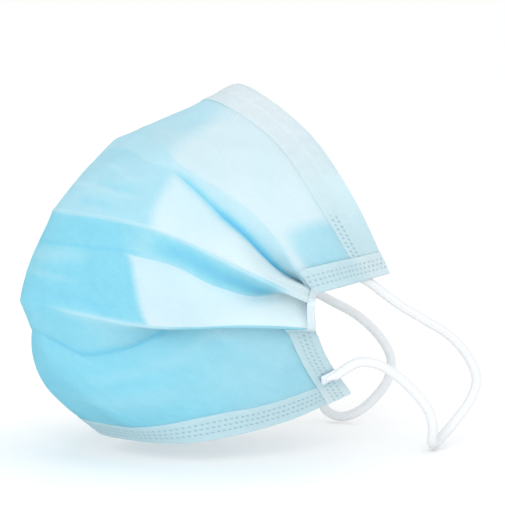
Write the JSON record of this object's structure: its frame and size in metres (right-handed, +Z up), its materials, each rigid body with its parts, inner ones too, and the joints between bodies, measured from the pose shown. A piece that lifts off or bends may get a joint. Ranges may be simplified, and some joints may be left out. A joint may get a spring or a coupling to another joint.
{
  "type": "disposable face mask",
  "caption": "Pleated cloth face mask opened into its worn shape, with folded hems, taped side edges and an elastic ear loop at each side.",
  "frame": {"origin": "mount face_seat, the centre of the face opening, between the nose edge, the chin edge and the side edges", "axes": "+Z up with the mask tilted as it is worn, -Y the way the mask faces, +X the wearer's left"},
  "size_m": [0.115, 0.1321, 0.1072],
  "materials": {
    "panel_cloth": "matte spunbond nonwoven, pale blue",
    "hem_cloth": "matte spunbond nonwoven, white, slightly see-through",
    "elastic": "soft round knitted elastic, white",
    "wire": "thin flat strip sealed inside the nose hem"
  },
  "bodies": {
    "root": {"pleated_panel": "panel_cloth", "nose_hem": "hem_cloth", "chin_hem": "hem_cloth", "nose_wire": "wire", "side_binding_left": "hem_cloth", "side_binding_right": "hem_cloth", "ear_loop_left": "elastic", "ear_loop_right": "elastic"}
  },
  "joints": []
}
